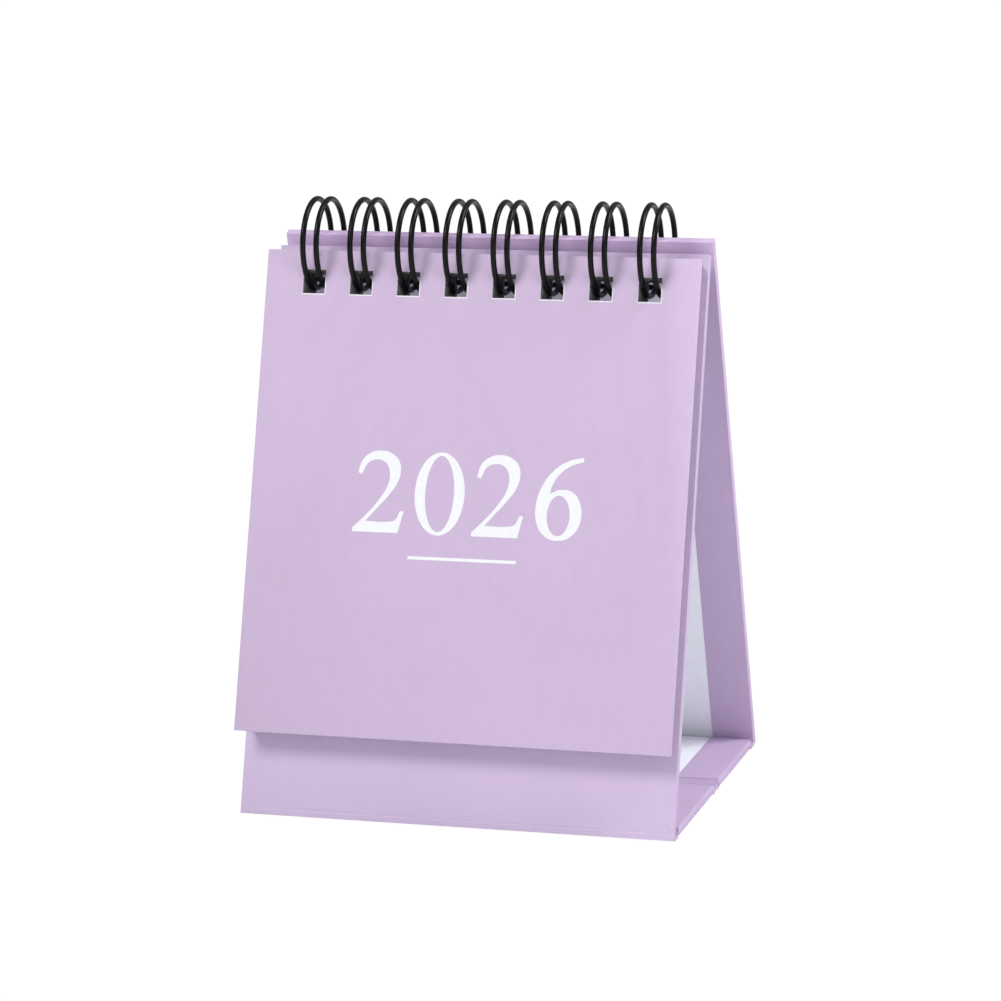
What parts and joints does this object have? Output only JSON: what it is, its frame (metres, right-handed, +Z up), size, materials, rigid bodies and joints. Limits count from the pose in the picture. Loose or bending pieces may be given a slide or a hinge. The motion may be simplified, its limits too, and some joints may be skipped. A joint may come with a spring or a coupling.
{
  "type": "desk calendar",
  "caption": "Small easel desk calendar: a folding paper-wrapped card tent with leaves that turn over a black twin-loop wire binding.",
  "frame": {"origin": "on the surface it stands on, under the middle of its box", "axes": "+Z up, the leaves face -Y, +X to the reader's right"},
  "size_m": [0.0766, 0.066, 0.1035],
  "materials": {
    "greyboard": "matt uncoated",
    "wrap_paper": "matt lilac",
    "lining_paper": "matt white",
    "cover_card": "matt lilac print",
    "leaf_paper": "matt white",
    "binding_wire": "gloss black"
  },
  "bodies": {
    "root": {"front_board": "greyboard", "front_wrap": "wrap_paper", "front_lining": "lining_paper", "wire_binding": "binding_wire"},
    "back_panel": {"back_board": "greyboard", "back_wrap": "wrap_paper", "back_lining": "lining_paper"},
    "base_front_panel": {"base_front_board": "greyboard", "base_front_wrap": "wrap_paper", "base_front_lining": "lining_paper"},
    "base_rear_panel": {"base_rear_board": "greyboard", "base_rear_wrap": "wrap_paper", "base_rear_lining": "lining_paper"},
    "cover_leaf_body": {"cover_leaf": "cover_card"},
    "month_01_body": {"month_01": "leaf_paper"},
    "month_02_body": {"month_02": "leaf_paper"},
    "month_03_body": {"month_03": "leaf_paper"},
    "month_04_body": {"month_04": "leaf_paper"},
    "month_05_body": {"month_05": "leaf_paper"},
    "month_06_body": {"month_06": "leaf_paper"},
    "month_07_body": {"month_07": "leaf_paper"},
    "month_08_body": {"month_08": "leaf_paper"},
    "month_09_body": {"month_09": "leaf_paper"},
    "month_10_body": {"month_10": "leaf_paper"},
    "month_11_body": {"month_11": "leaf_paper"},
    "month_12_body": {"month_12": "leaf_paper"}
  },
  "joints": [
    {"name": "stand_fold", "type": "hinge", "parent": "root", "child": "back_panel", "pos_m": [0, -0.0041, 0.09538], "axis": [-1, 0, 0], "range_deg": [0, 4.5]},
    {"name": "base_front_crease", "type": "hinge", "parent": "root", "child": "base_front_panel", "pos_m": [0, -0.0279, 0], "axis": [1, 0, 0], "range_deg": [0, 27.2]},
    {"name": "base_rear_crease", "type": "hinge", "parent": "back_panel", "child": "base_rear_panel", "pos_m": [0, 0.0292, 0], "axis": [-1, 0, 0], "range_deg": [0, 28.1]},
    {"name": "month_12_turn", "type": "hinge", "parent": "root", "child": "month_12_body", "pos_m": [0, -0.0041, 0.09538], "axis": [-1, 0, 0], "range_deg": [0, 180]},
    {"name": "month_11_turn", "type": "hinge", "parent": "month_12_body", "child": "month_11_body", "pos_m": [0, -0.0041, 0.09538], "axis": [-1, 0, 0], "range_deg": [0, 180]},
    {"name": "month_10_turn", "type": "hinge", "parent": "month_11_body", "child": "month_10_body", "pos_m": [0, -0.0041, 0.09538], "axis": [-1, 0, 0], "range_deg": [0, 180]},
    {"name": "month_09_turn", "type": "hinge", "parent": "month_10_body", "child": "month_09_body", "pos_m": [0, -0.0041, 0.09538], "axis": [-1, 0, 0], "range_deg": [0, 180]},
    {"name": "month_08_turn", "type": "hinge", "parent": "month_09_body", "child": "month_08_body", "pos_m": [0, -0.0041, 0.09538], "axis": [-1, 0, 0], "range_deg": [0, 180]},
    {"name": "month_07_turn", "type": "hinge", "parent": "month_08_body", "child": "month_07_body", "pos_m": [0, -0.0041, 0.09538], "axis": [-1, 0, 0], "range_deg": [0, 180]},
    {"name": "month_06_turn", "type": "hinge", "parent": "month_07_body", "child": "month_06_body", "pos_m": [0, -0.0041, 0.09538], "axis": [-1, 0, 0], "range_deg": [0, 180]},
    {"name": "month_05_turn", "type": "hinge", "parent": "month_06_body", "child": "month_05_body", "pos_m": [0, -0.0041, 0.09538], "axis": [-1, 0, 0], "range_deg": [0, 180]},
    {"name": "month_04_turn", "type": "hinge", "parent": "month_05_body", "child": "month_04_body", "pos_m": [0, -0.0041, 0.09538], "axis": [-1, 0, 0], "range_deg": [0, 180]},
    {"name": "month_03_turn", "type": "hinge", "parent": "month_04_body", "child": "month_03_body", "pos_m": [0, -0.0041, 0.09538], "axis": [-1, 0, 0], "range_deg": [0, 180]},
    {"name": "month_02_turn", "type": "hinge", "parent": "month_03_body", "child": "month_02_body", "pos_m": [0, -0.0041, 0.09538], "axis": [-1, 0, 0], "range_deg": [0, 180]},
    {"name": "month_01_turn", "type": "hinge", "parent": "month_02_body", "child": "month_01_body", "pos_m": [0, -0.0041, 0.09538], "axis": [-1, 0, 0], "range_deg": [0, 180]},
    {"name": "cover_turn", "type": "hinge", "parent": "month_01_body", "child": "cover_leaf_body", "pos_m": [0, -0.0041, 0.09538], "axis": [-1, 0, 0], "range_deg": [0, 180]}
  ],
  "couplings": [
    {"joint": "base_front_crease", "follows": "stand_fold", "ratio": 6.0181},
    {"joint": "base_rear_crease", "follows": "stand_fold", "ratio": 6.2094}
  ]
}
